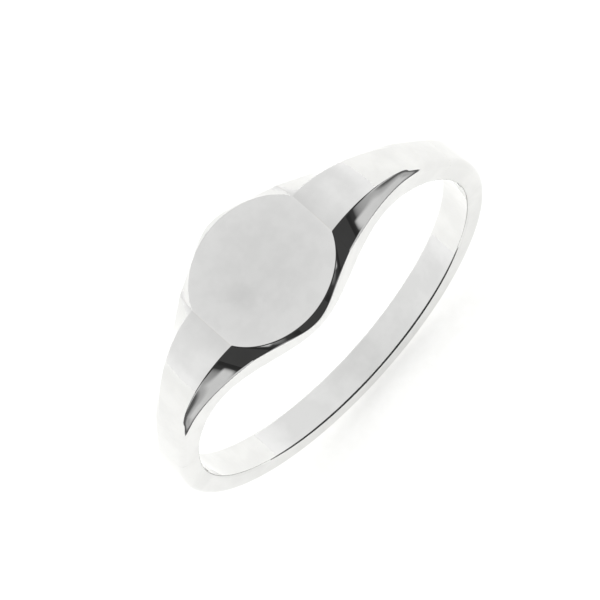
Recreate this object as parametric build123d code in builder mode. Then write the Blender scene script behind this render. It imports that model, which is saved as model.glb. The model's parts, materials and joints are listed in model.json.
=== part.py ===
"""Oval signet ring, made the bench way: shank, shoulders, head block and table plate, soldered.

Frame: origin at the centre of the finger bore, +Y along the finger, +Z up through the table,
+X towards the right shoulder.  Angles are turned from +Z towards +X.  Millimetres and degrees.
"""
from build123d import *
from math import atan2, cos, degrees, exp, hypot, radians, sin, sqrt, tan
import os

os.makedirs("parts", exist_ok=True)

# Finger bore and shank
bore_radius = 8.25  # finger size 52: 16.5 mm across
shank_thickness = 1.08
back_width = 1.55  # shank width at the back of the finger
shoulder_width = 1.70  # width that the bell-shaped flanks run out to
shank_joint_angle = 72  # where each shoulder is soldered to the shank
edge_rounding = 0.28  # outer edges of the shank and of the shoulders' lower ends

# Head: a bell-shaped block under an oval table
head_thickness = 1.62  # bore to table
head_width = 6.26  # along the finger, at the bore
flank_flare = 0.30  # how far each flank leans out over the head's middle, per millimetre of radius
flank_draft = 0.13  # how far it leans back in across the whole bell, per millimetre of radius
bell_reach = 4.32  # arc of the bore over which the bell narrows
bell_power = 1.9  # 2 would be a true bell curve
flare_power = 8  # how closely the flare keeps to the head's middle
table_length = 7.10  # across the finger
table_width = 6.10  # along the finger
plate_thickness = 0.65

# Straps that run from the table down the shoulders, and the scoops beside them
strap_width = 2.40  # at the table's notches
strap_end_width = 1.04  # where the scoops run out
strap_taper = 1.5  # above 1, a strap narrows mostly towards its end
strap_fullness = 0.67  # how squarely the shoulder turns from the table to the shank
scoop_share = 0.84  # share of the shoulder line that the scoops follow
crease_drop = 0.30  # from the table down to the scoops' lower edge, over the head's middle
notch_drop = 0.42  # the same at the notches
crease_thickness = 1.35  # from the bore to the scoops' lower edge on the shoulders
crease_blend = 22  # degrees over which the first becomes the second
table_hollow = 0.05  # how far the scoop under the table is bowed into its corner, from flat to square
strap_hollow = 0.40  # the same beside the straps, halfway along them
scoop_end_depth = 0.03  # the scoops' last trace, where they close

# Solder
solder_thickness = 0.05

# Worked out from the sizes above
outer_radius = bore_radius + shank_thickness
table_height = bore_radius + head_thickness
crease_radius = bore_radius + crease_thickness
seat_height = table_height - plate_thickness
notch_x = table_length / 2 * sqrt(1 - (strap_width / table_width) ** 2)
notch_angle = degrees(atan2(notch_x, table_height))
tool_radius = table_height + 2  # the shaping solids reach past every outer surface


def on_circle(radius, angle):
    """A point of the side view, across the finger and up."""
    return (radius * sin(radians(angle)), radius * cos(radians(angle)))


def radial_plane(angle):
    """The plane through the bore's axis at an angle: x outwards, y along the finger."""
    across, up = on_circle(1, angle)
    return Plane(origin=(0, 0, 0), x_dir=(across, 0, up), z_dir=(-up, 0, across))


def half_width(angle, radius):
    """Half the ring's width from shoulder to shoulder: a bell curve over the head."""
    spread = exp(-((abs(radians(angle)) * bore_radius / bell_reach) ** bell_power))
    lean = flank_flare * spread**flare_power - flank_draft * spread
    return (shoulder_width + (head_width - shoulder_width) * spread) / 2 + lean * (radius - bore_radius)


# The shoulder's outer line leaves the table level and meets the shank's circle on its tangent
strap_end = on_circle(outer_radius, shank_joint_angle)
rise = table_height - strap_end[1]
overhang = rise / tan(radians(shank_joint_angle))
strap_poles = [
    (notch_x, table_height),
    (notch_x + strap_fullness * (strap_end[0] - overhang - notch_x), table_height),
    (strap_end[0] - strap_fullness * overhang, strap_end[1] + strap_fullness * rise),
    strap_end,
]
strap_line = Bezier(*strap_poles)


def crease_on_head(x):
    """Radius of the scoop's lower edge under the table, a distance across from the middle."""
    height = table_height - crease_drop - (notch_drop - crease_drop) * (x / notch_x) ** 2
    return height * hypot(x, table_height) / table_height


def crease_on_shoulder(angle):
    """Radius of the scoops' lower edge: from the head's level it settles into a circle."""
    head_end = crease_on_head(notch_x)
    left = max(0, 1 - (angle - notch_angle) / crease_blend)
    return crease_radius + (head_end - crease_radius) * left**2


def scoop_section(angle, top, crease, hollow):
    """What a scoop takes away at one angle; top and crease are (radius, half width)."""
    top, crease = Vector(*top), Vector(*crease)
    depth, run = top.X - crease.X, crease.Y - top.Y
    inwards = max(0, run - depth) + hollow * min(run, depth)
    bow = (top + crease) / 2 - hollow / 2 * Vector(depth, inwards)
    outside = crease.Y + strap_width
    with BuildSketch(radial_plane(angle)) as section:
        with BuildLine():
            Bezier(top, bow, crease)
            Polyline(crease, (crease.X, outside), (tool_radius, outside), (tool_radius, top.Y), top)
        make_face()
    return section.sketch.face()


def runs_round_outside(edge):
    """Whether an edge runs round the outside of the ring, not along the bore or across a joint."""
    middle, heading = edge @ 0.5, edge % 0.5
    outwards = Vector(middle.X, 0, middle.Z)
    is_outside = outwards.length > bore_radius + shank_thickness / 2
    return is_outside and abs(outwards.normalized().dot(heading)) < 0.5 and abs(heading.Y) < 0.5


# Shaping solid: the bell-shaped flanks, ruled out from the bore's axis
flank_steps = 8
flank_overrun = 3  # degrees past each shank joint
with BuildPart() as flanks:
    for step in range(-flank_steps, flank_steps + 1):
        angle = step / flank_steps * (shank_joint_angle + flank_overrun)
        inner, outer = bore_radius / 2, tool_radius
        low, high = half_width(angle, inner), half_width(angle, outer)
        with BuildSketch(radial_plane(angle)):
            with BuildLine():
                Polyline((inner, -low), (outer, -high), (outer, high), (inner, low), close=True)
            make_face()
    loft()

# Shaping solid: the scoop under the table's edge, from notch to notch
with BuildPart() as table_scoop:
    sections = []
    for share in (-1, -0.92, -0.75, -0.45, 0, 0.45, 0.75, 0.92, 1):
        x = share * notch_x
        angle, top = degrees(atan2(x, table_height)), hypot(x, table_height)
        table_edge = table_width / 2 * sqrt(1 - (2 * x / table_length) ** 2)
        crease = crease_on_head(x)
        foot = (crease, half_width(angle, crease))
        sections.append(scoop_section(angle, (top, table_edge), foot, table_hollow))
    loft(sections)

# Shaping solid: the scoop beside the right strap, which closes where it meets the outer line
with BuildPart() as strap_scoop:
    sections = []
    for share in (0, 0.2, 0.4, 0.6, 0.8, 1):
        x, z, _ = strap_line @ (share * scoop_share)
        angle, top = degrees(atan2(x, z)), hypot(x, z)
        strap_edge = (strap_width + share**strap_taper * (strap_end_width - strap_width)) / 2
        crease = min(crease_on_shoulder(angle), top - scoop_end_depth)
        foot = (crease, half_width(angle, crease))
        hollow = table_hollow + (strap_hollow - table_hollow) * 4 * share * (1 - share)
        sections.append(scoop_section(angle, (top, strap_edge), foot, hollow))
    loft(sections)

# The head's whole shape, between the notches
with BuildPart() as head:
    with BuildSketch(Plane.XZ):
        with BuildLine():
            left_foot = on_circle(bore_radius, -notch_angle)
            right_foot = on_circle(bore_radius, notch_angle)
            RadiusArc(left_foot, right_foot, bore_radius)
            Polyline(right_foot, (notch_x, table_height), (-notch_x, table_height), left_foot)
        make_face()
    extrude(amount=head_width, both=True)
    add(flanks.part, mode=Mode.INTERSECT)
    add(table_scoop.part, mode=Mode.SUBTRACT)
    add(table_scoop.part.mirror(Plane.XZ), mode=Mode.SUBTRACT)

# The right shoulder's whole shape, from the notch to the shank
with BuildPart() as shoulder:
    with BuildSketch(Plane.XZ):
        with BuildLine():
            bore_start = on_circle(bore_radius, notch_angle)
            bore_end = on_circle(bore_radius, shank_joint_angle)
            RadiusArc(bore_start, bore_end, bore_radius)
            Line(bore_end, strap_end)
            Bezier(*strap_poles)
            Line((notch_x, table_height), bore_start)
        make_face()
    extrude(amount=head_width, both=True)
    add(flanks.part, mode=Mode.INTERSECT)
    fillet(shoulder.edges().filter_by(runs_round_outside), radius=edge_rounding)
    add(strap_scoop.part, mode=Mode.SUBTRACT)
    add(strap_scoop.part.mirror(Plane.XZ), mode=Mode.SUBTRACT)

# The cuts between the pieces, and the far side of each layer of solder
neck_cut = radial_plane(notch_angle)
neck_solder_face = neck_cut.offset(-solder_thickness)
shank_cut = radial_plane(shank_joint_angle)
shank_solder_face = shank_cut.offset(solder_thickness)
seat = Plane.XY.offset(seat_height)
seat_solder_face = seat.offset(solder_thickness)

# Shank: a drafted hoop, widest at its joints with the shoulders
with BuildPart() as shank:
    with BuildSketch(Plane.XZ):
        Circle(outer_radius)
        Circle(bore_radius, mode=Mode.SUBTRACT)
        with BuildLine():
            far_right = on_circle(2 * outer_radius, shank_joint_angle)
            far_left = on_circle(2 * outer_radius, -shank_joint_angle)
            Polyline((0, 0), far_right, (0, 2 * outer_radius), far_left, close=True)
        make_face(mode=Mode.SUBTRACT)
    extrude(amount=shoulder_width, both=True)
    with BuildSketch(Plane.YZ):
        joint_height = on_circle((bore_radius + outer_radius) / 2, shank_joint_angle)[1]
        joint_half = half_width(shank_joint_angle, outer_radius)
        slope = (joint_half - back_width / 2) / (joint_height + outer_radius)
        top_half = back_width / 2 + 2 * outer_radius * slope
        with BuildLine():
            Polyline(
                (-back_width / 2, -outer_radius),
                (back_width / 2, -outer_radius),
                (top_half, outer_radius),
                (-top_half, outer_radius),
                close=True,
            )
        make_face()
    extrude(amount=outer_radius, both=True, mode=Mode.INTERSECT)
    fillet(shank.edges().filter_by(runs_round_outside), radius=edge_rounding)

# Head block: bridges the finger and carries the table plate
with BuildPart() as head_block:
    add(head.part)
    split(bisect_by=seat, keep=Keep.BOTTOM)

# Table plate: the flat oval to be engraved, with its notches
with BuildPart() as table_plate:
    add(head.part)
    split(bisect_by=seat_solder_face, keep=Keep.TOP)

# Table solder: the layer between plate and block
with BuildPart() as table_solder:
    add(head.part)
    split(bisect_by=seat, keep=Keep.TOP)
    split(bisect_by=seat_solder_face, keep=Keep.BOTTOM)

# Shoulders: from the head's necks down to the shank
with BuildPart() as right_shoulder:
    add(shoulder.part)
    split(bisect_by=neck_solder_face, keep=Keep.BOTTOM)
    split(bisect_by=shank_solder_face, keep=Keep.TOP)

with BuildPart() as left_shoulder:
    mirror(right_shoulder.part, about=Plane.YZ)

# Neck solder: between the head and each shoulder
with BuildPart() as right_neck_solder:
    add(shoulder.part)
    split(bisect_by=neck_solder_face, keep=Keep.TOP)

with BuildPart() as left_neck_solder:
    mirror(right_neck_solder.part, about=Plane.YZ)

# Shank solder: between each shoulder and the shank
with BuildPart() as right_shank_solder:
    add(shoulder.part)
    split(bisect_by=shank_solder_face, keep=Keep.BOTTOM)

with BuildPart() as left_shank_solder:
    mirror(right_shank_solder.part, about=Plane.YZ)

pieces = {
    "shank": shank,
    "head_block": head_block,
    "table_plate": table_plate,
    "right_shoulder": right_shoulder,
    "left_shoulder": left_shoulder,
    "table_solder": table_solder,
    "right_neck_solder": right_neck_solder,
    "left_neck_solder": left_neck_solder,
    "right_shank_solder": right_shank_solder,
    "left_shank_solder": left_shank_solder,
}
for name, piece in pieces.items():
    piece.part.label = name
    export_step(piece.part, f"parts/{name}.step")
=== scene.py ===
"""Oval signet ring in polished sterling silver, on a pale studio floor.

Frame: metres, origin at the centre of the finger bore, +Y along the finger, +Z up through the
table, +X towards the right shoulder.  Angles are turned from +Z towards +X, in radians.

Every piece is skinned from one section of the ring.  The section runs from the middle of the
bore, over its softened rim, up the flank to the crease, round the crease, along the scoop to
the sharp edge of the table or strap, and over the top to the middle.  Each run is one cubic
curve in a plane through the bore's axis, held as (radius, distance along the finger).
"""
import json
from math import asin, atan2, ceil, cos, exp, hypot, pi, radians, sin, sqrt

import bpy
import numpy as np
from mathutils import Matrix, Vector


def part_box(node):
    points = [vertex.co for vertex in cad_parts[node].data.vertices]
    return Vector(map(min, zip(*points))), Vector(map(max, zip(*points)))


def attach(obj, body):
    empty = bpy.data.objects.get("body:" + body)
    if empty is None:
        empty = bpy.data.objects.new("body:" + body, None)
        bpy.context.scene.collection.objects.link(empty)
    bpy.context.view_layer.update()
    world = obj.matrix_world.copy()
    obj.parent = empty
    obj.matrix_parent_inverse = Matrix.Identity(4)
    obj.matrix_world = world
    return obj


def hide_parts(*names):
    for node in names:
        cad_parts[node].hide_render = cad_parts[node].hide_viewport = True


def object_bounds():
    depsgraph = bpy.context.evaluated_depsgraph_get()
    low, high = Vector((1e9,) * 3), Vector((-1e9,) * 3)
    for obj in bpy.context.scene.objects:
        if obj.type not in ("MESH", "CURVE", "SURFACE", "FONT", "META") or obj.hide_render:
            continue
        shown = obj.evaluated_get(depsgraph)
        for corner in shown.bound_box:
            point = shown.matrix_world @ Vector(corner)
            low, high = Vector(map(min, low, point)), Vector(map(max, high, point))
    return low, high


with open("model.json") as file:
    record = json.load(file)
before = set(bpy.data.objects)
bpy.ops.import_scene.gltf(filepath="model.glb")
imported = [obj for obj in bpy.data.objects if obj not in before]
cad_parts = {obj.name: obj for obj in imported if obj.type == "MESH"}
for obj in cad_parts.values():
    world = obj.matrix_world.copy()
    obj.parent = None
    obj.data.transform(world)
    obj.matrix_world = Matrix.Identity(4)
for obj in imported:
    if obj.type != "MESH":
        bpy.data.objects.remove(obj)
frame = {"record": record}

bl_info = {
    "name": "Oval Signet Ring",
    "version": (1, 0, 0),
    "blender": (4, 5, 0),
    "location": "View3D > Sidebar > Signet Ring",
    "description": "Builds a plain oval signet ring in polished silver around its CAD frame",
    "category": "Add Mesh",
}

MM = 0.001
MICRON = 0.000001
CAD_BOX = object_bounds()
BORE_MOUNT = next(m for m in frame["record"]["mounts"] if m["name"] == "finger_bore")


def lowest(cad_node):
    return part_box(cad_node)[0]


def highest(cad_node):
    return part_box(cad_node)[1]


def length_property(name, description, default):
    """A size in metres that the sidebar shows as a length."""
    return bpy.props.FloatProperty(
        name=name,
        description=description,
        default=default,
        min=0.0,
        precision=5,
        subtype="DISTANCE",
        unit="LENGTH",
    )


def share_property(name, description, default):
    """A plain ratio."""
    return bpy.props.FloatProperty(
        name=name, description=description, default=default, min=0.0, subtype="FACTOR", precision=3
    )


def angle_property(name, description, degrees_turned):
    """An angle, given in degrees."""
    return bpy.props.FloatProperty(
        name=name, description=description, default=radians(degrees_turned), subtype="ANGLE"
    )


def colour_property(name, description, hex_value):
    """A colour, given as an sRGB hex value and held in linear light."""
    return bpy.props.FloatVectorProperty(
        name=name,
        description=description,
        default=linear(hex_value),
        size=4,
        min=0.0,
        max=1.0,
        subtype="COLOR",
    )


def linear(hex_value):
    """Turn an sRGB hex value into linear red, green, blue and an alpha of one."""
    shares = [int(hex_value[i : i + 2], 16) / 255 for i in (1, 3, 5)]
    return [s / 12.92 if s <= 0.04045 else ((s + 0.055) / 1.055) ** 2.4 for s in shares] + [1.0]


class RingSizes(bpy.types.PropertyGroup):
    """The ring's shape. What the CAD frame holds is read from it; the rest follows the CAD's sizes."""

    bore_radius: length_property(
        "Bore radius", "Half the inside diameter", BORE_MOUNT["dims"]["r_mm"] * MM
    )
    outer_radius: length_property(
        "Shank radius", "From the bore's axis to the back of the shank", -lowest("shank").z
    )
    back_width: length_property("Back width", "Shank width at the back of the finger", 1.55 * MM)
    shoulder_width: length_property(
        "Shoulder width", "Width that the flanks run out to", 1.70 * MM
    )
    shank_joint: angle_property("Shank joint", "Where each shoulder meets the shank", 72)
    edge_rounding: length_property(
        "Edge rounding", "Softening of the shank's outer edges", 0.28 * MM
    )
    rim_rounding: length_property("Rim rounding", "Softening of the bore's rims", 0.12 * MM)
    shank_crown: length_property(
        "Shank crown", "How far the outer face falls from its middle to its edges", 0.05 * MM
    )
    table_height: length_property(
        "Table height", "From the bore's axis to the table", highest("table_plate").z
    )
    seat_height: length_property(
        "Seat height", "From the bore's axis to the plate's seat", highest("head_block").z
    )
    head_width: length_property(
        "Head width", "Along the finger, at the bore", BORE_MOUNT["dims"]["length_mm"] * MM
    )
    flank_flare: share_property(
        "Flank flare", "How far each flank leans out over the head's middle", 0.30
    )
    flank_draft: share_property(
        "Flank draft", "How far each flank leans back in across the bell", 0.13
    )
    bell_reach: length_property(
        "Bell reach", "Arc of the bore over which the bell narrows", 4.32 * MM
    )
    bell_power: share_property("Bell power", "How squarely the bell turns", 1.9)
    table_length: length_property("Table length", "Across the finger", 7.10 * MM)
    table_width: length_property("Table width", "Along the finger", 6.10 * MM)
    strap_width: length_property("Strap width", "At the table's notches", 2.40 * MM)
    strap_end_width: length_property(
        "Strap end width", "Where the scoops run out", 1.04 * MM
    )
    strap_taper: share_property(
        "Strap taper", "Above 1, the strap narrows mostly towards its end", 1.5
    )
    strap_fullness: share_property(
        "Strap fullness", "How squarely the shoulder turns down to the shank", 0.67
    )
    scoop_share: share_property(
        "Scoop share", "Share of the shoulder line that the scoops follow", 0.84
    )
    crease_drop: length_property(
        "Crease drop", "From the table to the scoops' lower edge over the head's middle", 0.30 * MM
    )
    notch_drop: length_property(
        "Notch drop", "From the table to the scoops' lower edge at the notches", 0.42 * MM
    )
    crease_thickness: length_property(
        "Crease thickness", "From the bore to the scoops' lower edge on the shoulders", 1.35 * MM
    )
    crease_blend: angle_property(
        "Crease blend", "Turn over which the crease leaves the head's level", 22
    )
    crease_rounding: length_property(
        "Crease rounding", "Softening of the scoops' lower edge", 0.10 * MM
    )
    brink_rounding: length_property(
        "Brink rounding", "Softening of the table's and straps' edges", 0.05 * MM
    )
    table_hollow: share_property(
        "Table hollow", "How far the scoop under the table is bowed into its corner", 0.05
    )
    strap_hollow: share_property(
        "Strap hollow", "The same beside the straps, halfway along them", 0.40
    )
    solder_thickness: length_property(
        "Solder thickness",
        "Thickness of each soldered seam",
        highest("table_solder").z - lowest("table_solder").z,
    )


class RingFinish(bpy.types.PropertyGroup):
    """Colours and polish of the silver, and of the floor."""

    bright_silver: colour_property(
        "Bright silver", "Where the last buffing cut cleanest", "#E4E4E3"
    )
    dull_silver: colour_property("Dull silver", "Where a trace of haze is left", "#DDDDDC")
    # the table's colour runs from its middle tone to a lighter rim, a painted reflection
    table_bright: colour_property("Table's rim", "Where the table is brightest", "#E9E9E8")
    table_dull: colour_property("Table's middle", "Where the table is haziest", "#D8D8D7")
    solder_silver: colour_property("Solder silver", "The seams' slightly warmer alloy", "#E2E1DE")
    floor_white: colour_property("Floor white", "Matt board under the ring", "#F4F4F2")
    polish: share_property("Polish", "Roughness of the buffed surfaces", 0.055)
    table_polish: share_property("Table polish", "Roughness of the flat-lapped table", 0.14)


FLARE_POWER = 8  # how closely the flanks' flare keeps to the head's middle
CLOSING_POWER = 7  # how late each scoop's lower edge rises to meet the strap
EDGE_ROOM = 1.15  # width kept beside a strap, in roundings of the scoop's lower edge
MOST_BRINK = 0.4  # share of a scoop that the softening of its upper edge may take
MOST_TOP = 0.2  # share of the top that the same softening may take
CORNER_REACH = 0.4  # how far a soft corner's handles reach, as a share of its chord


def notch(size):
    """Where the table's outline meets the strap: across the finger, and its angle."""
    across = size.table_length / 2 * sqrt(1 - (size.strap_width / size.table_width) ** 2)
    return across, atan2(across, size.table_height)


def smooth(value, start, end):
    """0 before start, 1 after end, and an even S between."""
    share = min(1.0, max(0.0, (value - start) / (end - start)))
    return share * share * (3 - 2 * share)


def flank_lean(size, spread):
    return size.flank_flare * spread**FLARE_POWER - size.flank_draft * spread


def half_width(size, angle, radius):
    """Half the ring's width at an angle, and how far the flank leans out there."""
    spread = exp(-((abs(angle) * size.bore_radius / size.bell_reach) ** size.bell_power))
    width = size.shoulder_width + (size.head_width - size.shoulder_width) * spread
    lean = flank_lean(size, spread)
    return width / 2 + lean * (radius - size.bore_radius), lean


def shank_half_width(size, angle, radius):
    """The shank narrows evenly with height, from its joints to the back of the finger."""
    joint_height = (size.bore_radius + size.outer_radius) / 2 * cos(size.shank_joint)
    joint_half = half_width(size, size.shank_joint, size.outer_radius)[0]
    slope = (joint_half - size.back_width / 2) / (joint_height + size.outer_radius)
    return size.back_width / 2 + (radius * cos(angle) + size.outer_radius) * slope, 0.0


def shoulder_line(size, share):
    """A point of the shoulder's outer line, level at the table and tangent to the shank."""
    notch_x = notch(size)[0]
    end_x = size.outer_radius * sin(size.shank_joint)
    end_z = size.outer_radius * cos(size.shank_joint)
    rise = size.table_height - end_z
    overhang = rise * cos(size.shank_joint) / sin(size.shank_joint)
    poles = (
        (notch_x, size.table_height),
        (notch_x + size.strap_fullness * (end_x - overhang - notch_x), size.table_height),
        (end_x - size.strap_fullness * overhang, end_z + size.strap_fullness * rise),
        (end_x, end_z),
    )
    return cubic(np.array(poles), np.array([share]))[0][0]


def share_at(size, angle):
    """The share of the shoulder's line at which it crosses an angle."""
    low, high = 0.0, 1.0
    for _ in range(50):
        middle = (low + high) / 2
        x, z = shoulder_line(size, middle)
        low, high = (middle, high) if atan2(x, z) < angle else (low, middle)
    return (low + high) / 2


def cubic(poles, shares):
    """Points of a cubic curve, and its heading, at shares of its run."""
    t = shares[:, None]
    a, b, c, d = poles
    point = a * (1 - t) ** 3 + 3 * b * t * (1 - t) ** 2 + 3 * c * t * t * (1 - t) + d * t**3
    heading = (b - a) * (1 - t) ** 2 + 2 * (c - b) * t * (1 - t) + (d - c) * t * t
    return point, heading


def straight(start, end):
    """A straight run as a cubic."""
    start, end = np.array(start), np.array(end)
    return np.array([start + (end - start) * share for share in (0, 1 / 3, 2 / 3, 1)])


def bowed(start, bow, end):
    """A run that bends once, towards bow."""
    start, bow, end = np.array(start), np.array(bow), np.array(end)
    return np.array([start, start + (bow - start) * 2 / 3, end + (bow - end) * 2 / 3, end])


def rounded(start, start_heading, end, end_heading):
    """A soft corner that leaves and arrives along the two headings."""
    start, end = np.array(start), np.array(end)
    reach = CORNER_REACH * np.linalg.norm(end - start)
    leave = np.array(start_heading) / np.linalg.norm(start_heading)
    arrive = np.array(end_heading) / np.linalg.norm(end_heading)
    return np.array([start, start + reach * leave, end - reach * arrive, end])


def after(poles, share):
    """What is left of a cubic after a share of its run."""
    rows = [poles]
    while len(rows[-1]) > 1:
        rows.append(rows[-1][:-1] * (1 - share) + rows[-1][1:] * share)
    return np.array([row[-1] for row in reversed(rows)])


def head_crease(size, x):
    """Radius of the scoop's lower edge under the table, a distance across from the middle."""
    drop = size.crease_drop + (size.notch_drop - size.crease_drop) * (x / notch(size)[0]) ** 2
    return (size.table_height - drop) * hypot(x, size.table_height) / size.table_height


def section(size, region, place):
    """The ring's section at a place: its angle and its named runs, from the bore to the top."""
    rounding, crown, hollow, width_at = size.crease_rounding, 0.0, size.table_hollow, half_width
    if region == "head":  # place is the angle round the table's oval
        x = size.table_length / 2 * sin(place)
        angle = atan2(x, size.table_height)
        top = size.table_height / cos(angle)
        crease = head_crease(size, x)
        edge = size.table_width / 2 * cos(place)
    else:
        end_rounding = size.edge_rounding
        full_crown = size.shank_crown / (size.shoulder_width / 2) ** 2
        if region == "shoulder":  # place is a share of the shoulder's line
            x, z = shoulder_line(size, place)
            angle, top = atan2(x, z), hypot(x, z)
            along = min(1.0, place / size.scoop_share)
            left = max(0.0, 1 - (angle - notch(size)[1]) / size.crease_blend)
            crease = size.bore_radius + size.crease_thickness
            crease += (head_crease(size, notch(size)[0]) - crease) * left**2
            crease = top - max(0.0, top - crease) * (1 - along**CLOSING_POWER)
            rounding += (end_rounding - rounding) * along**2
            halfway = 4 * along * (1 - along)  # 1 halfway along the scoop, 0 at its ends
            hollow += (size.strap_hollow - hollow) * halfway
            crown = full_crown * smooth(along, 0.0, 1.0)
            taper = along**size.strap_taper
            strap = (size.strap_width + taper * (size.strap_end_width - size.strap_width)) / 2
        else:  # place is the angle round the bore
            angle, top, crease = place, size.outer_radius, size.outer_radius
            rounding, crown, strap = end_rounding, full_crown, size.strap_end_width / 2
            width_at = shank_half_width
        strap_limit = width_at(size, angle, crease)[0] - EDGE_ROOM * rounding
        edge = min(strap, strap_limit)

    rim, lean = width_at(size, angle, size.bore_radius)
    foot = np.array((crease - crown * rim**2, width_at(size, angle, crease)[0]))
    brink = np.array((top - crown * edge**2, edge))
    depth = top - crease
    run = foot[1] - edge
    bow = (foot + brink) / 2 + (crown * run**2 / 2, 0)
    bow -= hollow / 2 * np.array((depth, max(0.0, run - depth) + hollow * min(run, depth)))
    scoop = after(bowed(foot, bow, brink), rounding / np.linalg.norm(foot - brink))
    soft_share = min(MOST_BRINK, size.brink_rounding / np.linalg.norm(scoop[0] - brink))
    scoop = after(scoop[::-1], soft_share)[::-1]
    top_share = min(MOST_TOP, size.brink_rounding / edge)
    top_run = after(bowed(brink, (top, edge / 2), (top, 0.0)), top_share)
    (foot_heading, brink_heading) = cubic(scoop, np.array([0.0, 1.0]))[1]
    top_heading = cubic(top_run, np.array([0.0]))[1][0]

    soft = size.rim_rounding
    rim_low, rim_high = (size.bore_radius, rim - soft), (size.bore_radius + soft, rim + lean * soft)
    flank_end = (foot[0] - rounding, width_at(size, angle, foot[0] - rounding)[0])
    runs = {
        "bore": straight((size.bore_radius, 0.0), rim_low),
        "rim": rounded(rim_low, (0, 1), rim_high, (1, lean)),
        "flank": straight(rim_high, flank_end),
        "crease": rounded(flank_end, (1, lean), scoop[0], foot_heading),
        "scoop": scoop,
        "brink": rounded(scoop[-1], brink_heading, top_run[0], top_heading),
        "top": top_run,
    }
    if region == "head":
        low = size.seat_height / cos(angle)
        high = (size.seat_height + size.solder_thickness) / cos(angle)
        seat_low = (low, width_at(size, angle, low)[0])
        seat_high = (high, width_at(size, angle, high)[0])
        runs["lower flank"] = straight(rim_high, seat_low)
        runs["seat"] = straight(seat_low, (low, 0.0))
        runs["solder underside"] = straight((low, 0.0), seat_low)
        runs["solder flank"] = straight(seat_low, seat_high)
        runs["solder top"] = straight(seat_high, (high, 0.0))
        runs["plate underside"] = straight((high, 0.0), seat_high)
        runs["upper flank"] = straight(seat_high, flank_end)
    return angle, runs


# How many faces each run is given, and how many any other run is
FACES = {"bore": 2, "rim": 5, "crease": 8, "scoop": 14, "brink": 5, "top": 10, "flank": 8}
OTHER_FACES = 4
WHOLE = ("bore", "rim", "flank", "crease", "scoop", "brink", "top")
BLOCK = ("bore", "rim", "lower flank", "seat")
TABLE_SOLDER = ("solder underside", "solder flank", "solder top")
PLATE = ("plate underside", "upper flank", "crease", "scoop", "brink", "top")


def stand(flat, angle):
    """Points or headings of a section, stood in its plane through the bore's axis."""
    radius, along = flat.T
    return np.stack([radius * sin(angle), along, radius * cos(angle)], axis=-1)


def ring_of_points(size, region, place, runs):
    """One closed loop of the skin: its points, and the normals at both ends of each step."""
    nudge = 0.0005  # step along the places that the normals are worked out over
    angle, here = section(size, region, place)
    before_angle, before = section(size, region, place - nudge)
    beyond_angle, beyond = section(size, region, place + nudge)
    points, starts, ends = [], [], []
    for run in runs:
        shares = np.linspace(0, 1, FACES.get(run, OTHER_FACES) + 1)
        spot, heading = cubic(here[run], shares)
        ahead = stand(cubic(beyond[run], shares)[0], beyond_angle)
        behind = stand(cubic(before[run], shares)[0], before_angle)
        normal = np.cross(stand(heading, angle), ahead - behind)
        normal /= np.linalg.norm(normal, axis=1)[:, None]
        points.append(stand(spot, angle)[:-1])
        starts.append(normal[:-1])
        ends.append(normal[1:])
    last = stand(cubic(here[runs[-1]], np.array([1.0]))[0], angle)
    points, starts, ends = np.vstack(points + [last]), np.vstack(starts), np.vstack(ends)
    flip = np.array([1, -1, 1])
    loop = np.vstack([points, (points * flip)[-2:0:-1]])
    return loop, np.vstack([starts, (ends * flip)[::-1]]), np.vstack([ends, (starts * flip)[::-1]])


def skin_piece(name, size, region, places, runs, material, cad_node, mirrored=False):
    """Build one closed piece from sections at places, with exact normals, and hang it on the frame."""
    rings = [ring_of_points(size, region, place, runs) for place in places]
    count = len(rings[0][0])
    points = np.vstack([ring[0] for ring in rings])
    faces, normals = [], []
    for i, (near, far) in enumerate(zip(rings, rings[1:])):
        for j in range(count):
            k = (j + 1) % count
            faces.append((i * count + j, i * count + k, (i + 1) * count + k, (i + 1) * count + j))
            normals.append((near[1][j], near[2][j], far[2][j], far[1][j]))
    last = (len(rings) - 1) * count
    for corners in (list(range(count))[::-1], list(range(last, last + count))):
        a, b, c = (points[corners[n]] for n in (0, count // 3, 2 * count // 3))
        facing = np.cross(b - a, c - a)
        facing /= np.linalg.norm(facing)
        faces.append(corners)
        normals.append([facing] * count)
    if mirrored:
        points = points * np.array([-1, 1, 1])
        faces = [tuple(face)[::-1] for face in faces]
        normals = [[n * np.array([-1, 1, 1]) for n in corner][::-1] for corner in normals]

    mesh = bpy.data.meshes.new(name)
    mesh.from_pydata([tuple(p) for p in points], [], [tuple(int(v) for v in f) for f in faces])
    mesh.polygons.foreach_set("use_smooth", [True] * len(mesh.polygons))
    mesh.normals_split_custom_set([tuple(n) for corner in normals for n in corner])
    mesh.materials.append(material)
    piece = bpy.data.objects.new(name, mesh)
    bpy.context.scene.collection.objects.link(piece)
    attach(piece, "root")
    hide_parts(cad_node)
    return piece


def node(tree, kind, inputs=None, **settings):
    """Add a node, with its settings and with values or other nodes' outputs on its inputs."""
    made = tree.nodes.new(kind)
    for name, value in settings.items():
        setattr(made, name, value)
    for name, value in (inputs or {}).items():
        if isinstance(value, bpy.types.NodeSocket):
            tree.links.new(value, made.inputs[name])
        else:
            made.inputs[name].default_value = value
    return made


def new_material(name):
    """A material by its name, and its empty node tree, or None where it is already made."""
    material = bpy.data.materials.get(name)
    if material:
        return material, None
    material = bpy.data.materials.new(name)
    material.use_nodes = True
    material.node_tree.nodes.clear()
    return material, material.node_tree


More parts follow.
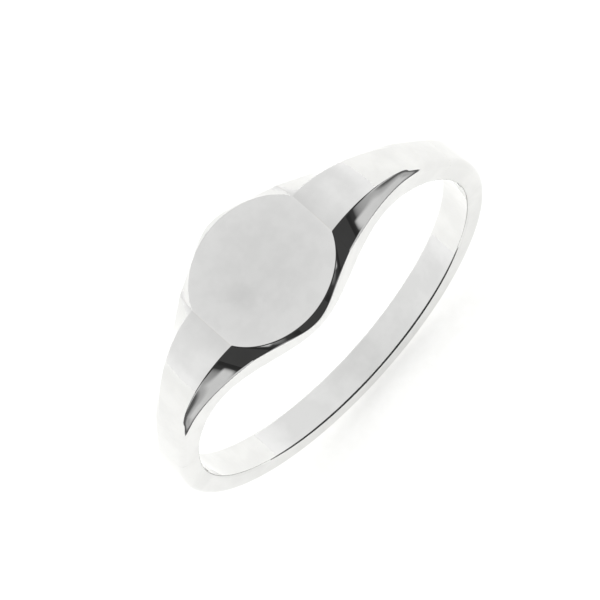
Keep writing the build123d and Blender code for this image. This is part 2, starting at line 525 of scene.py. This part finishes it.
def polished_silver(name, base_roughness, bright, dull, mottle_mm, streak_share, table=None):
    """Sterling silver, polished by hand on a mop.

    The eye sees a clean mirror with faint hazy patches where the mop passed less often, and
    fine polishing lines that run round the finger.
    """
    material, tree = new_material(name)
    if tree is None:
        return material
    place = node(tree, "ShaderNodeTexCoord").outputs["Object"]
    # millimetres, so that a noise scale of 1 / size gives marks of that size
    in_mm = node(
        tree, "ShaderNodeVectorMath", {0: place, "Scale": 1 / MM}, operation="SCALE"
    ).outputs["Vector"]
    # where the mop passed more often, the silver is brighter and smoother
    passes = node(
        tree,
        "ShaderNodeTexNoise",
        {"Vector": in_mm, "Scale": 1 / mottle_mm, "Detail": 3.0, "Roughness": 0.55},
    ).outputs["Fac"]
    # polishing lines: real ones are about 0.02 mm apart, drawn 0.12 mm apart so that they show
    line_spacing = 0.12
    parts = node(tree, "ShaderNodeSeparateXYZ", {"Vector": in_mm})
    across_finger = node(
        tree, "ShaderNodeCombineXYZ", {"X": parts.outputs["X"], "Z": parts.outputs["Z"]}
    ).outputs["Vector"]
    radius = node(
        tree, "ShaderNodeVectorMath", {0: across_finger}, operation="LENGTH"
    ).outputs["Value"]
    # the mop wanders, so the lines drift over about 3 mm
    drift = node(
        tree, "ShaderNodeTexNoise", {"Vector": in_mm, "Scale": 0.35, "Detail": 1.0}
    ).outputs["Fac"]
    ring_way = node(
        tree,
        "ShaderNodeCombineXYZ",
        {"X": parts.outputs["Y"], "Y": radius, "Z": drift},
    ).outputs["Vector"]
    lines = node(
        tree,
        "ShaderNodeTexNoise",
        {"Vector": ring_way, "Scale": 1 / line_spacing, "Detail": 2.0, "Roughness": 0.6},
    ).outputs["Fac"]
    brightness = node(
        tree,
        "ShaderNodeMapRange",
        {"Value": passes, "From Min": 0.35, "From Max": 0.65},
        interpolation_type="SMOOTHSTEP",
    ).outputs["Result"]
    # on the table, a painted reflection: its colour is lighter towards its rim
    if table:
        brightness = table_brightness(tree, in_mm, brightness, table)
    tone = node(
        tree, "ShaderNodeMix", {"Factor": brightness, "A": dull, "B": bright}, data_type="RGBA"
    )
    roughness = node(
        tree,
        "ShaderNodeMath",
        {
            0: lines,
            1: base_roughness * streak_share,
            2: base_roughness * (1 - streak_share / 2),
        },
        operation="MULTIPLY_ADD",
    ).outputs["Value"]
    patchy_roughness = node(
        tree,
        "ShaderNodeMath",
        {0: passes, 1: -0.6 * base_roughness, 2: roughness},
        operation="MULTIPLY_ADD",
    ).outputs["Value"]
    # the lines are scratches of about half a micron
    relief = node(
        tree,
        "ShaderNodeBump",
        {"Height": lines, "Strength": 0.5, "Distance": 0.6 * MICRON},
    ).outputs["Normal"]
    surface = node(
        tree,
        "ShaderNodeBsdfPrincipled",
        {
            "Metallic": 1.0,
            "Base Color": tone.outputs["Result"],
            "Roughness": patchy_roughness,
            "Normal": relief,
        },
    ).outputs["BSDF"]
    node(tree, "ShaderNodeOutputMaterial", {"Surface": surface})
    return material


def table_brightness(tree, in_mm, patches, size):
    """The table's colour is painted lighter towards its rim, a painted reflection, and one small soft smudge
    is left.
    """
    half_length, half_width = size.table_length / 2 / MM, size.table_width / 2 / MM
    towards_rim = node(
        tree,
        "ShaderNodeVectorMath",
        {0: in_mm, 1: (1 / half_length, 1 / half_width, 0.0)},
        operation="MULTIPLY",
    ).outputs["Vector"]
    # painted reflection: the table's colour grows lighter from its middle towards its rim
    painted_rim_sheen = node(
        tree, "ShaderNodeVectorMath", {0: towards_rim, 1: towards_rim}, operation="DOT_PRODUCT"
    ).outputs["Value"]
    with_patches = node(
        tree, "ShaderNodeMath", {0: patches, 1: 0.25, 2: 0.3}, operation="MULTIPLY_ADD"
    ).outputs["Value"]
    brightness = node(
        tree, "ShaderNodeMath", {0: painted_rim_sheen, 1: 0.5, 2: with_patches}, operation="MULTIPLY_ADD"
    ).outputs["Value"]
    # a touch of a fingertip: darkest within 0.1 mm of its middle, and gone by 0.9 mm
    smudge_spot = (-1.45, -0.1, size.table_height / MM)
    from_smudge = node(
        tree, "ShaderNodeVectorMath", {0: in_mm, 1: smudge_spot}, operation="DISTANCE"
    ).outputs["Value"]
    smudge = node(
        tree,
        "ShaderNodeMapRange",
        {"Value": from_smudge, "From Min": 0.1, "From Max": 0.9, "To Min": 0.4, "To Max": 0.0},
        interpolation_type="SMOOTHSTEP",
    ).outputs["Result"]
    return node(
        tree, "ShaderNodeMath", {0: brightness, 1: smudge}, operation="SUBTRACT"
    ).outputs["Value"]


def buffed(finish):
    """Buffed to a mirror: soft patches of haze as wide as a small mop's pass."""
    return polished_silver(
        "Sterling silver, mirror buffed", finish.polish,
        finish.bright_silver, finish.dull_silver, mottle_mm=1.6, streak_share=0.6,
    )


def lapped(finish, size):
    """Lapped flat, ready to engrave: a calm satin grey that reflects only broad light and dark."""
    return polished_silver(
        "Sterling silver, lapped table", finish.table_polish,
        finish.table_bright, finish.table_dull, mottle_mm=0.9, streak_share=0.3, table=size,
    )


def soldered(finish):
    """Hard solder, buffed flush: a hair-thin line, a little warmer than the silver beside it."""
    return polished_silver(
        "Hard silver solder, buffed flush", finish.polish,
        finish.solder_silver, finish.dull_silver, mottle_mm=0.8, streak_share=0.6,
    )


def matt_board(finish):
    """Matt white board: a pale sheet whose faint tooth scatters light evenly."""
    material, tree = new_material("White board, matt coated")
    if tree is None:
        return material
    place = node(tree, "ShaderNodeTexCoord").outputs["Object"]
    tooth_spacing = 0.4 * MM
    tooth = node(
        tree, "ShaderNodeTexNoise", {"Vector": place, "Scale": 1 / tooth_spacing, "Detail": 2.0}
    )
    tone = node(
        tree,
        "ShaderNodeMix",
        {"Factor": tooth.outputs["Fac"], "A": finish.floor_white, "B": linear("#FAFAF9")},
        data_type="RGBA",
    )
    surface = node(
        tree,
        "ShaderNodeBsdfPrincipled",
        {"Base Color": tone.outputs["Result"], "Roughness": 0.9, "Specular IOR Level": 0.0},
    )
    node(tree, "ShaderNodeOutputMaterial", {"Surface": surface.outputs["BSDF"]})
    return material


def steps(start, end, widest):
    """Evenly spread places from start to end, no further apart than widest."""
    return np.linspace(start, end, ceil((end - start) / widest) + 1)


TABLE_STEP = radians(1.2)  # widest step round the table's oval
SHANK_STEP = radians(1.5)  # widest step round the shank
SHOULDER_STEP = 0.01  # widest step down a shoulder, as a share of its line


def table_places(size):
    """Angles round the table's oval, from the left notch to the right one."""
    limit = asin(2 * notch(size)[0] / size.table_length)
    return steps(-limit, limit, TABLE_STEP)


def solder_turn(size):
    """The turn that one layer of solder takes up round the finger."""
    return size.solder_thickness / size.outer_radius


def shoulder_cuts(size):
    """Shares of the shoulder's line at the neck, past its solder, before the shank's, at the shank."""
    neck = notch(size)[1] + solder_turn(size)
    foot = size.shank_joint - solder_turn(size)
    return 0.0, share_at(size, neck), share_at(size, foot), 1.0


class RingOperator:
    """What every operator of the ring shares."""

    bl_options = {"REGISTER", "UNDO"}

    @staticmethod
    def settings(context):
        return context.scene.signet_ring_sizes, context.scene.signet_ring_finish


class AddShank(RingOperator, bpy.types.Operator):
    """Add the shank: the slim hoop round the back of the finger"""

    bl_idname = "signet_ring.add_shank"
    bl_label = "Shank"

    def execute(self, context):
        size, finish = self.settings(context)
        places = steps(size.shank_joint, 2 * pi - size.shank_joint, SHANK_STEP)
        skin_piece("polished_shank", size, "shank", places, WHOLE, buffed(finish), "shank")
        return {"FINISHED"}


class AddHeadBlock(RingOperator, bpy.types.Operator):
    """Add the head block: the bell-shaped bridge over the finger"""

    bl_idname = "signet_ring.add_head_block"
    bl_label = "Head block"

    def execute(self, context):
        size, finish = self.settings(context)
        skin_piece(
            "polished_head_block", size, "head", table_places(size), BLOCK,
            buffed(finish), "head_block",
        )
        return {"FINISHED"}


class AddTablePlate(RingOperator, bpy.types.Operator):
    """Add the table plate: the bare oval table with the scoop under its edge"""

    bl_idname = "signet_ring.add_table_plate"
    bl_label = "Table plate"

    def execute(self, context):
        size, finish = self.settings(context)
        piece = skin_piece(
            "polished_table_plate", size, "head", table_places(size), PLATE,
            buffed(finish), "table_plate",
        )
        piece.data.materials.append(lapped(finish, size))
        for face in piece.data.polygons:
            if all(piece.data.vertices[v].co.z > size.table_height - MICRON for v in face.vertices):
                face.material_index = 1
        return {"FINISHED"}


class AddShoulders(RingOperator, bpy.types.Operator):
    """Add both shoulders: scooped straps from the table down to the shank"""

    bl_idname = "signet_ring.add_shoulders"
    bl_label = "Shoulders"

    def execute(self, context):
        size, finish = self.settings(context)
        _, start, end, _ = shoulder_cuts(size)
        for side in ("right", "left"):
            skin_piece(
                f"polished_{side}_shoulder", size, "shoulder", steps(start, end, SHOULDER_STEP), WHOLE,
                buffed(finish), f"{side}_shoulder", mirrored=side == "left",
            )
        return {"FINISHED"}


class AddSolder(RingOperator, bpy.types.Operator):
    """Add the solder: a thin layer under the table plate, at both necks and at both shank joints"""

    bl_idname = "signet_ring.add_solder"
    bl_label = "Solder seams"

    def execute(self, context):
        size, finish = self.settings(context)
        neck_start, neck_end, shank_start, shank_end = shoulder_cuts(size)
        skin_piece(
            "table_solder_seam", size, "head", table_places(size), TABLE_SOLDER,
            soldered(finish), "table_solder",
        )
        for side in ("right", "left"):
            for seam, start, end in (
                ("neck", neck_start, neck_end),
                ("shank", shank_start, shank_end),
            ):
                skin_piece(
                    f"{side}_{seam}_solder_seam", size, "shoulder", np.linspace(start, end, 3), WHOLE,
                    soldered(finish), f"{side}_{seam}_solder", mirrored=side == "left",
                )
        return {"FINISHED"}


class AddStage(RingOperator, bpy.types.Operator):
    """Add the stage: a pale floor, soft studio light and the camera"""

    bl_idname = "signet_ring.add_stage"
    bl_label = "Stage"

    def execute(self, context):
        scene = context.scene
        add_floor(scene.signet_ring_finish)
        add_card()
        light_studio(scene)
        place_camera(scene)
        scene.view_settings.view_transform = "Standard"
        return {"FINISHED"}


# The light tent, as brightness by heading
TENT_WALL = 1.00  # its sides
TENT_ROOF = 0.86  # its roof, where it is greyest
GREY_SPOT = (0.0, 0.33, 0.944)  # the heading of that greyest place
GREY_REACH = 0.7  # cosine of the turn from it by which the roof is as light as the sides
HORIZON = 1.13  # how much brighter the tent gets down to the lit board
HORIZON_TOP = 0.35  # upward share of a heading by which that is gone
DARK_ROOM = 0.06  # what light comes in where the tent is open, in front
OPEN_FROM, CLOSED_FROM = -0.12, 0.05  # the opening's soft edge, as a heading's share along the finger
BACKDROP = 1.0  # the plain white that the camera sees past the board
FILL_STRENGTH = 2.3  # the lamp overhead
FILL_SPREAD = radians(40)
BOARD_REACH = 3.0  # metres that the board and the card run out to

# The front card, a glowing sheet of painted light and shade that the scoops reflect, in millimetres from the
# bore's axis
CARD_START = 10
CARD_WHITE_TO, CARD_BLACK_FROM = 11, 85  # along its middle, away from the ring
CARD_BLACK = 0.03
MIDDLE_ENDS, SIDES_START = 9, 13  # across the finger
SIDES_END = 110
SIDE_TONES = ((10.8, 0.12), (12.2, 0.12), (14, 0.50), (30, 0.33), (45, 0.05))  # millimetres away, tone
# each patch is painted light that the scoops mirror
PATCH_TONE = 0.75  # a lighter patch on each side


def add_floor(finish):
    """A large matt board that the ring stands on."""
    level = CAD_BOX[0].z
    corners = [
        (x * BOARD_REACH, y * BOARD_REACH, level) for x, y in ((-1, -1), (1, -1), (1, 1), (-1, 1))
    ]
    mesh = bpy.data.meshes.new("studio_floor")
    mesh.from_pydata(corners, [], [(0, 1, 2, 3)])
    mesh.materials.append(matt_board(finish))
    floor = bpy.data.objects.new("studio_floor", mesh)
    bpy.context.scene.collection.objects.link(floor)


def glowing_reflection_card():
    """A glowing card whose tones are painted light and shade: the scoops mirror it, so its tones are what
    they show.

    Its middle fades slowly from white to black, away from the ring. Its sides start dark, turn
    grey and fade sooner, and each has one lighter patch that lies aslant.
    """
    material, tree = new_material("Glowing card, white to black, for reflections")
    place = node(tree, "ShaderNodeTexCoord").outputs["Object"]
    in_mm = node(
        tree, "ShaderNodeVectorMath", {0: place, 1: (1 / MM, -1 / MM, 1 / MM)}, operation="MULTIPLY"
    ).outputs["Vector"]
    parts = node(tree, "ShaderNodeSeparateXYZ", {"Vector": in_mm})
    away = parts.outputs["Y"]
    aside = node(tree, "ShaderNodeMath", {0: parts.outputs["X"]}, operation="ABSOLUTE").outputs["Value"]
    slant = node(tree, "ShaderNodeMath", {0: aside, 1: away}, operation="DIVIDE").outputs["Value"]

    middle_tone = node(
        tree,
        "ShaderNodeMapRange",
        {
            "Value": away, "From Min": CARD_WHITE_TO, "From Max": CARD_BLACK_FROM,
            "To Min": 1.0, "To Max": CARD_BLACK,
        },
        interpolation_type="SMOOTHSTEP",
    ).outputs["Result"]

    side_fade = node(
        tree, "ShaderNodeMapRange", {"Value": away, "From Min": CARD_START, "From Max": SIDES_END}
    ).outputs["Result"]
    side_tone = node(tree, "ShaderNodeValToRGB", {"Fac": side_fade})
    ramp = side_tone.color_ramp
    for distance, tone in SIDE_TONES:
        stop = ramp.elements.new((distance - CARD_START) / (SIDES_END - CARD_START))
        stop.color = (tone, tone, tone, 1)
    ramp.elements[0].color = (1, 1, 1, 1)
    ramp.elements[-1].color = (CARD_BLACK, CARD_BLACK, CARD_BLACK, 1)

    # the patch's four soft edges: what each is measured by, where it is gone and where it is full
    patch = 1.0
    for measure, gone, full in ((slant, 0.85, 1.0), (slant, 1.9, 1.35), (away, 14, 18), (away, 70, 36)):
        edge = node(
            tree,
            "ShaderNodeMapRange",
            {"Value": measure, "From Min": gone, "From Max": full},
            interpolation_type="SMOOTHSTEP",
        ).outputs["Result"]
        patch = node(tree, "ShaderNodeMath", {0: patch, 1: edge}, operation="MULTIPLY").outputs["Value"]
    patched_tone = node(
        tree,
        "ShaderNodeMix",
        {"Factor": patch, "A": side_tone.outputs["Color"], "B": (PATCH_TONE, PATCH_TONE, PATCH_TONE, 1)},
        data_type="RGBA",
    ).outputs["Result"]

    side_share = node(
        tree,
        "ShaderNodeMapRange",
        {"Value": aside, "From Min": MIDDLE_ENDS, "From Max": SIDES_START},
        interpolation_type="SMOOTHSTEP",
    ).outputs["Result"]
    tone = node(
        tree, "ShaderNodeMix", {"Factor": side_share, "A": middle_tone, "B": patched_tone}, data_type="RGBA"
    ).outputs["Result"]
    # the card glows with its own light, so its tones are painted light and shade, seen only in reflections
    glow = node(tree, "ShaderNodeEmission", {"Color": tone, "Strength": 1.0}).outputs["Emission"]
    node(tree, "ShaderNodeOutputMaterial", {"Surface": glow})
    return material


def add_card():
    """A glowing card laid in front of the ring, on the board, seen only in the ring's reflections as painted
    light and shade.
    """
    near, level = -CARD_START * MM, CAD_BOX[0].z + 0.5 * MM
    corners = [
        (-BOARD_REACH, near, level),
        (-BOARD_REACH, -BOARD_REACH, level),
        (BOARD_REACH, -BOARD_REACH, level),
        (BOARD_REACH, near, level),
    ]
    mesh = bpy.data.meshes.new("front_reflection_card")
    mesh.from_pydata(corners, [], [(0, 1, 2, 3)])
    mesh.materials.append(glowing_reflection_card())
    card = bpy.data.objects.new("front_reflection_card", mesh)
    card.visible_camera = card.visible_diffuse = card.visible_shadow = False
    bpy.context.scene.collection.objects.link(card)


def light_studio(scene):
    """A light tent: white all round, brightest low down, greyer overhead and open in front."""
    world = bpy.data.worlds.new("Light tent")
    scene.world = world
    world.use_nodes = True
    tree = world.node_tree
    tree.nodes.clear()
    heading = node(tree, "ShaderNodeTexCoord").outputs["Generated"]
    way = node(tree, "ShaderNodeSeparateXYZ", {"Vector": heading})
    towards_grey = node(
        tree, "ShaderNodeVectorMath", {0: heading, 1: GREY_SPOT}, operation="DOT_PRODUCT"
    ).outputs["Value"]
    off_grey = node(
        tree, "ShaderNodeMapRange", {"Value": towards_grey, "From Min": 1.0, "From Max": GREY_REACH}
    ).outputs["Result"]
    # the cosine falls slowly at first, so its root fades evenly with the turn
    evenly_off_grey = node(tree, "ShaderNodeMath", {0: off_grey, 1: 0.5}, operation="POWER").outputs["Value"]
    overhead = node(
        tree,
        "ShaderNodeMapRange",
        {"Value": evenly_off_grey, "To Min": TENT_ROOF, "To Max": TENT_WALL},
    ).outputs["Result"]
    low_gain = node(
        tree,
        "ShaderNodeMapRange",
        {"Value": way.outputs["Z"], "From Max": HORIZON_TOP, "To Min": HORIZON, "To Max": 1.0},
        interpolation_type="SMOOTHSTEP",
    ).outputs["Result"]
    all_round = node(
        tree, "ShaderNodeMath", {0: overhead, 1: low_gain}, operation="MULTIPLY"
    ).outputs["Value"]
    closed = node(
        tree,
        "ShaderNodeMapRange",
        {"Value": way.outputs["Y"], "From Min": OPEN_FROM, "From Max": CLOSED_FROM},
        interpolation_type="SMOOTHSTEP",
    ).outputs["Result"]
    brightness = node(
        tree, "ShaderNodeMix", {"Factor": closed, "A": DARK_ROOM, "B": all_round}, data_type="FLOAT"
    ).outputs["Result"]
    tent_light = node(tree, "ShaderNodeBackground", {"Color": linear("#FFFFFF"), "Strength": brightness})
    seen_light = node(tree, "ShaderNodeBackground", {"Color": linear("#FFFFFF"), "Strength": BACKDROP})
    straight_view = node(tree, "ShaderNodeLightPath").outputs["Is Camera Ray"]
    mixed = node(
        tree,
        "ShaderNodeMixShader",
        {
            "Fac": straight_view,
            1: tent_light.outputs["Background"],
            2: seen_light.outputs["Background"],
        },
    )
    node(tree, "ShaderNodeOutputWorld", {"Surface": mixed.outputs["Shader"]})

    # a broad lamp straight overhead keeps the board white right up to the ring
    lamp = bpy.data.lights.new("Overhead fill", "SUN")
    lamp.energy = FILL_STRENGTH
    lamp.angle = FILL_SPREAD
    lamp.use_shadow = False
    fill = bpy.data.objects.new("Overhead fill", lamp)
    fill.visible_glossy = False
    scene.collection.objects.link(fill)


def place_camera(scene):
    """A long lens above and in front of the ring, turned so that the finger's axis lies aslant."""
    turn, rise, roll = radians(3.45), radians(70.95), radians(-52.03)
    frame_width = 26.0 * MM  # what the frame spans at the ring
    lens, sensor = 1600.0, 36.0
    aside, above = -0.904 * MM, 0.727 * MM  # from the bore's centre to the middle of the frame
    back = Vector((sin(turn) * cos(rise), -cos(turn) * cos(rise), sin(rise)))
    level = Vector((0, 0, 1)).cross(back).normalized()
    plumb = back.cross(level)
    right = cos(roll) * level + sin(roll) * plumb
    up = cos(roll) * plumb - sin(roll) * level
    data = bpy.data.cameras.new("Studio camera")
    data.lens, data.sensor_width = lens, sensor
    data.clip_start, data.clip_end = 0.1, 5.0
    camera = bpy.data.objects.new("Studio camera", data)
    spot = aside * right + above * up + back * (frame_width * lens / sensor)
    axes = Matrix((right, up, back)).transposed()
    camera.matrix_world = Matrix.Translation(spot) @ axes.to_4x4()
    scene.collection.objects.link(camera)
    scene.camera = camera


class SignetRingPanel(bpy.types.Panel):
    """Lists the ring's pieces, sizes and finishes"""

    bl_idname = "VIEW3D_PT_signet_ring"
    bl_label = "Signet Ring"
    bl_space_type = "VIEW_3D"
    bl_region_type = "UI"
    bl_category = "Signet Ring"

    def draw(self, context):
        for operator in OPERATORS:
            self.layout.operator(operator.bl_idname)
        for group in (context.scene.signet_ring_sizes, context.scene.signet_ring_finish):
            column = self.layout.column()
            for name in group.__annotations__:
                column.prop(group, name)


OPERATORS = (AddShank, AddHeadBlock, AddTablePlate, AddShoulders, AddSolder, AddStage)
CLASSES = (RingSizes, RingFinish, *OPERATORS, SignetRingPanel)


def register():
    for cls in CLASSES:
        bpy.utils.register_class(cls)
    bpy.types.Scene.signet_ring_sizes = bpy.props.PointerProperty(type=RingSizes)
    bpy.types.Scene.signet_ring_finish = bpy.props.PointerProperty(type=RingFinish)


def unregister():
    del bpy.types.Scene.signet_ring_sizes
    del bpy.types.Scene.signet_ring_finish
    for cls in reversed(CLASSES):
        bpy.utils.unregister_class(cls)


def main():
    """Build every piece and the stage."""
    register()
    bpy.ops.signet_ring.add_shank()
    bpy.ops.signet_ring.add_head_block()
    bpy.ops.signet_ring.add_table_plate()
    bpy.ops.signet_ring.add_shoulders()
    bpy.ops.signet_ring.add_solder()
    bpy.ops.signet_ring.add_stage()


if __name__ == "__main__":
    main()
